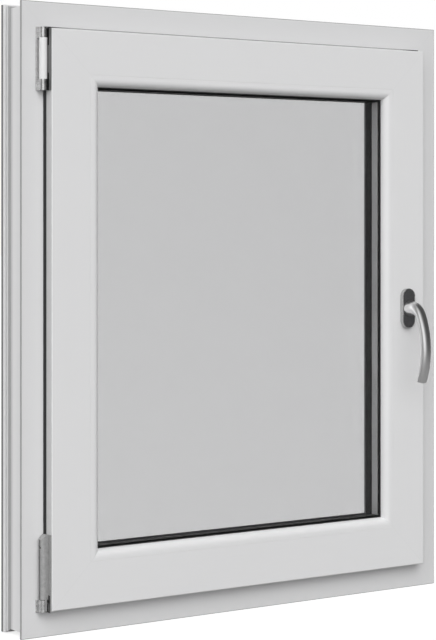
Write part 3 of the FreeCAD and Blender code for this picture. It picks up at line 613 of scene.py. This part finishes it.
# Each ring is |x / half width| ^ n + |out / half thickness| ^ n = 1, set across the middle line.
def addLever():
    low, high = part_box("handle_lever")
    axisX, axisZ = (low.x + high.x) / 2, high.z - lever["axisDrop"]
    neckY = high.y - lever["spigotLength"]
    y, z, turn = leverLine(neckY, axisZ, low.y + lever["thickness"] / 2, low.z + lever["endRise"])
    run = np.concatenate([[0], np.cumsum(np.hypot(np.diff(y), np.diff(z)))])
    halfWidth, halfThick, power = leverRings(run)

    # before it come the spigot and the neck's rounded edge, after it the grip's rounded end
    quarter = np.linspace(0, math.pi / 2, lever["roundSteps"])[1:]
    neckEdge, endRound, spigot = lever["neckEdge"], lever["endRound"], lever["spigotRadius"]
    firstRadius = np.concatenate([[spigot, spigot, lever["neckRadius"] - neckEdge],
                                  lever["neckRadius"] - neckEdge * (1 - np.sin(quarter))])
    firstY = np.concatenate([[high.y, neckY, neckY], neckY - neckEdge * (1 - np.cos(quarter))])
    kept = run > neckEdge
    reach = endRound * np.sin(quarter)
    inset = endRound * (1 - np.cos(quarter))
    ones, tips = np.ones(len(firstY)), np.ones(len(reach))
    y = np.concatenate([firstY, y[kept], y[-1] - reach * math.cos(turn[-1])])
    z = np.concatenate([ones * axisZ, z[kept], z[-1] - reach * math.sin(turn[-1])])
    turn = np.concatenate([ones * 0, turn[kept], tips * turn[-1]])
    halfWidth = np.concatenate([firstRadius, halfWidth[kept], halfWidth[-1] - inset])
    halfThick = np.concatenate([firstRadius, halfThick[kept], halfThick[-1] - inset])
    power = np.concatenate([ones * 2, power[kept], tips * power[-1]])[:, None]

    angle = np.linspace(0, 2 * math.pi, lever["around"], endpoint=False)[None, :]
    across = halfWidth[:, None] * np.sign(np.cos(angle)) * np.abs(np.cos(angle)) ** (2 / power)
    out = halfThick[:, None] * np.sign(np.sin(angle)) * np.abs(np.sin(angle)) ** (2 / power)
    grid = np.stack([axisX + across, y[:, None] - out * np.sin(turn)[:, None],
                     z[:, None] + out * np.cos(turn)[:, None]], axis=-1)
    grip = addPiece(skinMesh("handleGrip", grid), "handleSatin", "handle_satin", "handle",
                    "handle_lever", sharp=lever["sharp"])
    grip.visible_shadow = False      # the photograph shows none on the sash
    print("lever made")


# the rosette: an oval cup with a rounded rim, and its dark cover

rosette = {
    "rim": 0.0016,
    "rimRound": 0.0007,
    "rimInnerRound": 0.6,      # the rim's inner edge is rounded by this share of rimRound
    "coverDepth": 0.0015,
    "bore": 0.0088,
    "coverGap": 0.0001,
    "coverRound": 0.0003,
    "roundSteps": 6,           # over each rounded edge
    "around": 120,
    "sharp": 40,
}


# Oval path: a point at the angle is the straight's end, above or below, plus its distance from
# that end. section lists (distance, depth) pairs, and a distance below 0 marks the round bore
# about the middle instead.
def ovalRing(name, centre, straight, section):
    angle = np.linspace(0, 2 * math.pi, rosette["around"], endpoint=False)[None, :]
    distance, depth = np.array(section).T[:, :, None]
    # the columns at both sides are shared by the straight's two ends
    lift = np.where(np.sin(angle) >= 0, 1.0, -1.0) * straight
    radius, held = np.abs(distance), np.where(distance < 0, 0.0, 1.0)
    grid = np.stack([centre[0] + radius * np.cos(angle), depth + 0 * angle,
                     centre[1] + radius * np.sin(angle) + lift * held], axis=-1)
    return ringMesh(name, grid)


# A quarter circle of the radius given, from an edge's side, at distance, to its front, at depth.
# It goes in towards the middle, or out from it where way is 1.
def roundedEdge(distance, depth, radius, way=-1):
    turns = np.linspace(0, math.pi / 2, rosette["roundSteps"])
    return [(distance + way * radius * (1 - math.cos(turn)), depth + radius * (1 - math.sin(turn)))
            for turn in turns]


def addRosette():
    low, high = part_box("handle_rosette")
    centre = ((low.x + high.x) / 2, (low.z + high.z) / 2)
    radius = (high.x - low.x) / 2
    straight = (high.z - low.z) / 2 - radius
    inner = radius - rosette["rim"]
    floor = low.y + rosette["coverDepth"]
    bore = -rosette["bore"]
    innerRound = rosette["rimRound"] * rosette["rimInnerRound"]
    section = [(radius, high.y), *roundedEdge(radius, low.y, rosette["rimRound"]),
               *roundedEdge(inner, low.y, innerRound, 1)[::-1], (inner, floor), (bore, floor),
               (bore, high.y)]
    # the cup takes the darker, painted-shade copy of the satin metal
    addPiece(ovalRing("rosetteCup", centre, straight, section), "rosetteSatinShaded", "handle_satin",
             "window", "handle_rosette", sharp=rosette["sharp"])

    top = inner - rosette["coverGap"]
    section = [(top, floor), *roundedEdge(top, low.y, rosette["coverRound"]), (bore, low.y),
               (bore, floor)]
    addPiece(ovalRing("rosetteCover", centre, straight, section), "rosetteDark", "rosette_dark",
             "window", "handle_rosette_cover", sharp=rosette["sharp"])
    print("rosette made")


# floor, background and lights

studio = {
    "floorHalf": 30.0,
    "floorColour": 0.30,       # what the floor gives back to the object
    "floorGlow": 0.80,         # lifts the floor to white where it is looked at
    "ambient": 0.12,           # what every surface gets from all round
    "fromBehind": 0.90,        # more of it from behind the window
    "sheen": [                 # what gloss and metal mirror: turn from the front in degrees, strength
        (-180, 0.35), (-150, 0.42), (-120, 0.48), (-100, 0.50), (-82, 0.34), (-62, 0.30),
        (-50, 1.00), (-14, 1.00), (2, 0.36), (20, 0.12), (36, 0.06), (90, 0.10), (140, 0.25),
        (180, 0.35)],
    "sheenFade": 0.45,         # how much darker it is overhead
    "floorSheen": 0.28,        # what is mirrored from below
    "floorRise": 3.0,          # how fast it comes in below the horizon
    "sunDistance": 3,
}
suns = {                       # turn from the front (left is less than 0), height, spread, strength
    "keySun": (-15, 45, 40, 1.02),
    "highLeftSun": (-35, 55, 30, 0.18),
    "leftSun": (-60, 25, 60, 1.22),
    "frontSun": (0, 20, 60, 1.02),
    "rimSun": (-125, 25, 50, 0.92),
}


# a diffuse floor that glows to the camera alone
def addFloor():
    half = studio["floorHalf"]
    corners = [(x * half, y * half, cadLow.z) for x, y in ((-1, -1), (1, -1), (1, 1), (-1, 1))]
    mesh = newMesh("floor", corners, [(0, 1, 2, 3)])
    obj = bpy.data.objects.new("floor", mesh)
    bpy.context.scene.collection.objects.link(obj)
    mat, tree, surfaceInput = newMaterial("paleFloor")
    pale = addNode(tree, "ShaderNodeBsdfDiffuse", Color=(*[studio["floorColour"]] * 3, 1))
    glow = addNode(tree, "ShaderNodeEmission", Color=(1, 1, 1, 1))
    path = tree.nodes.new("ShaderNodeLightPath").outputs
    shown = mathNode(tree, "MULTIPLY", path["Is Camera Ray"], studio["floorGlow"])
    tree.links.new(shown, glow.inputs["Strength"])
    both = tree.nodes.new("ShaderNodeAddShader")
    tree.links.new(pale.outputs[0], both.inputs[0])
    tree.links.new(glow.outputs[0], both.inputs[1])
    # gloss and glass see the world past the floor, so that no horizon shows in them
    clear = tree.nodes.new("ShaderNodeBsdfTransparent")
    choice = tree.nodes.new("ShaderNodeMixShader")
    past = mathNode(tree, "MAXIMUM", path["Is Glossy Ray"], path["Is Transmission Ray"])
    tree.links.new(past, choice.inputs[0])
    tree.links.new(both.outputs[0], choice.inputs[1])
    tree.links.new(clear.outputs[0], choice.inputs[2])
    tree.links.new(choice.outputs[0], surfaceInput)
    mesh.materials.append(mat)


# What gloss mirrors: a round studio whose brightness follows the turn from the front, less a
# share of height squared, and which gives way to an even floor below the horizon.
def studioSheen(tree, x, y, height):
    turn = mathNode(tree, "ARCTAN2", x, mathNode(tree, "MULTIPLY", y, -1.0))
    share = mathNode(tree, "ADD", mathNode(tree, "DIVIDE", turn, 2 * math.pi), 0.5)
    ramp = tree.nodes.new("ShaderNodeValToRGB")
    stops = ramp.color_ramp.elements
    for _ in range(len(studio["sheen"]) - len(stops)):
        stops.new(0.5)
    for stop, (degrees, strength) in zip(stops, studio["sheen"]):
        stop.position = degrees / 360 + 0.5
        stop.color = (strength, strength, strength, 1)
    tree.links.new(share, ramp.inputs[0])
    faded = mathNode(tree, "MULTIPLY", mathNode(tree, "MULTIPLY", height, height), studio["sheenFade"])
    sheen = mathNode(tree, "MULTIPLY", ramp.outputs[0], mathNode(tree, "SUBTRACT", 1.0, faded))
    below = clamped(tree, mathNode(tree, "MULTIPLY", height, -studio["floorRise"]))
    above = mathNode(tree, "MULTIPLY", sheen, mathNode(tree, "SUBTRACT", 1.0, below))
    return mathNode(tree, "ADD", above, mathNode(tree, "MULTIPLY", below, studio["floorSheen"]))


# White to the camera and straight through glass, and the studio's sheen to gloss. Other rays
# get the ambient, with more from behind.
def addWorld():
    world = bpy.data.worlds.new("studio")
    bpy.context.scene.world = world
    world.use_nodes = True
    tree = world.node_tree
    tree.nodes.clear()
    out = tree.nodes.new("ShaderNodeOutputWorld")
    back = addNode(tree, "ShaderNodeBackground", Color=(1, 1, 1, 1))
    x, y, z = components(tree, coordinates(tree, "Generated"))
    # a ray that has been mirrored inside the glass unit sees the studio too
    path = tree.nodes.new("ShaderNodeLightPath").outputs
    bounced = mathNode(tree, "GREATER_THAN", path["Glossy Depth"], 0.5)
    through = mathNode(tree, "MULTIPLY", path["Is Transmission Ray"], bounced)
    straight = mathNode(tree, "SUBTRACT", path["Is Transmission Ray"], through)
    mirrored = mathNode(tree, "MAXIMUM", path["Is Glossy Ray"], through)
    sheen = mathNode(tree, "MULTIPLY", studioSheen(tree, x, y, z), mirrored)
    behind = mathNode(tree, "MULTIPLY", mathNode(tree, "MAXIMUM", y, 0.0), studio["fromBehind"])
    ambient = mathNode(tree, "ADD", behind, studio["ambient"])
    plain = mathNode(tree, "MULTIPLY", ambient, mathNode(tree, "SUBTRACT", 1.0, mirrored))
    looked = mathNode(tree, "MAXIMUM", path["Is Camera Ray"], straight)
    lit = mathNode(tree, "MAXIMUM", mathNode(tree, "ADD", plain, sheen), looked)
    tree.links.new(lit, back.inputs["Strength"])
    tree.links.new(back.outputs[0], out.inputs["Surface"])


# a soft sun that shines on the origin from its turn and height; gloss doesn't mirror it
def addSun(name, turn, height, spread, strength):
    data = bpy.data.lights.new(name, "SUN")
    data.angle = math.radians(spread)
    data.energy = strength
    obj = bpy.data.objects.new(name, data)
    across, up, far = math.radians(turn), math.radians(height), studio["sunDistance"]
    obj.location = (math.sin(across) * math.cos(up) * far, -math.cos(across) * math.cos(up) * far,
                    math.sin(up) * far)
    obj.rotation_euler = (-obj.location).to_track_quat("-Z", "Y").to_euler()
    obj.visible_glossy = False
    bpy.context.scene.collection.objects.link(obj)


def addStudio():
    addFloor()
    addWorld()
    for name, values in suns.items():
        addSun(name, *values)
    bpy.context.scene.view_settings.view_transform = "Standard"
    print("studio lit")


addCamera()
dressNodes()
addLever()
addRosette()
addStudio()
